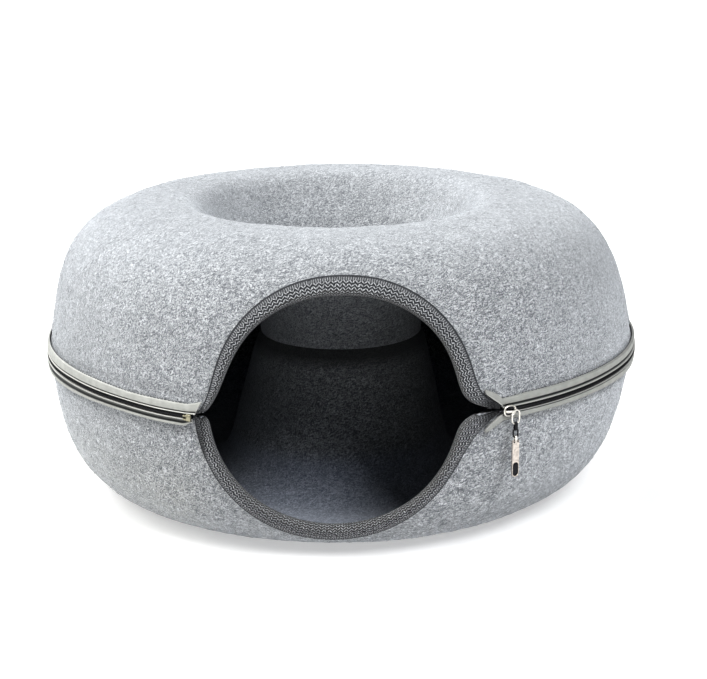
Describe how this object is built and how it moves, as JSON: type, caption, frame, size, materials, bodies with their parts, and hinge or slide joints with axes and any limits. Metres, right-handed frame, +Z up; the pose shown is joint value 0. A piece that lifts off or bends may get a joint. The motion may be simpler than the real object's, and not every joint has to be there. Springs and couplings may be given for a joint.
{
  "type": "felt cat cave",
  "caption": "Round doughnut-shaped felt cat cave with a central well, a bound round entrance and a zip round its side, standing on a flat base.",
  "frame": {"origin": "on the surface that it stands on, under the middle of its box", "axes": "+Z up, -Y towards the entrance, +X to the right as seen from the front"},
  "size_m": [0.4996, 0.481, 0.2403],
  "materials": {
    "felt": "heathered light grey moulded needle felt, matt and slightly fuzzy",
    "woven_binding": "dark grey woven tape with light grey zigzag threads",
    "zip_tape": "smooth woven grey zip tape with a faint sheen",
    "zip_coil": "black nylon coil",
    "nickel": "polished nickel-plated zinc",
    "dark_nickel": "dark nickel-plated zinc",
    "brass": "pressed brass, slightly dull"
  },
  "bodies": {
    "root": {"upper_shell": "felt", "lower_shell": "felt", "upper_binding": "woven_binding", "lower_binding": "woven_binding", "zip_tape_upper": "zip_tape", "zip_tape_lower": "zip_tape", "zip_chain": "zip_coil", "zip_end_stop": "brass", "zip_slider": "nickel", "pull_ring": "nickel", "pull_connector": "dark_nickel", "pull_link": "nickel", "pull_tab": "nickel"}
  },
  "joints": []
}
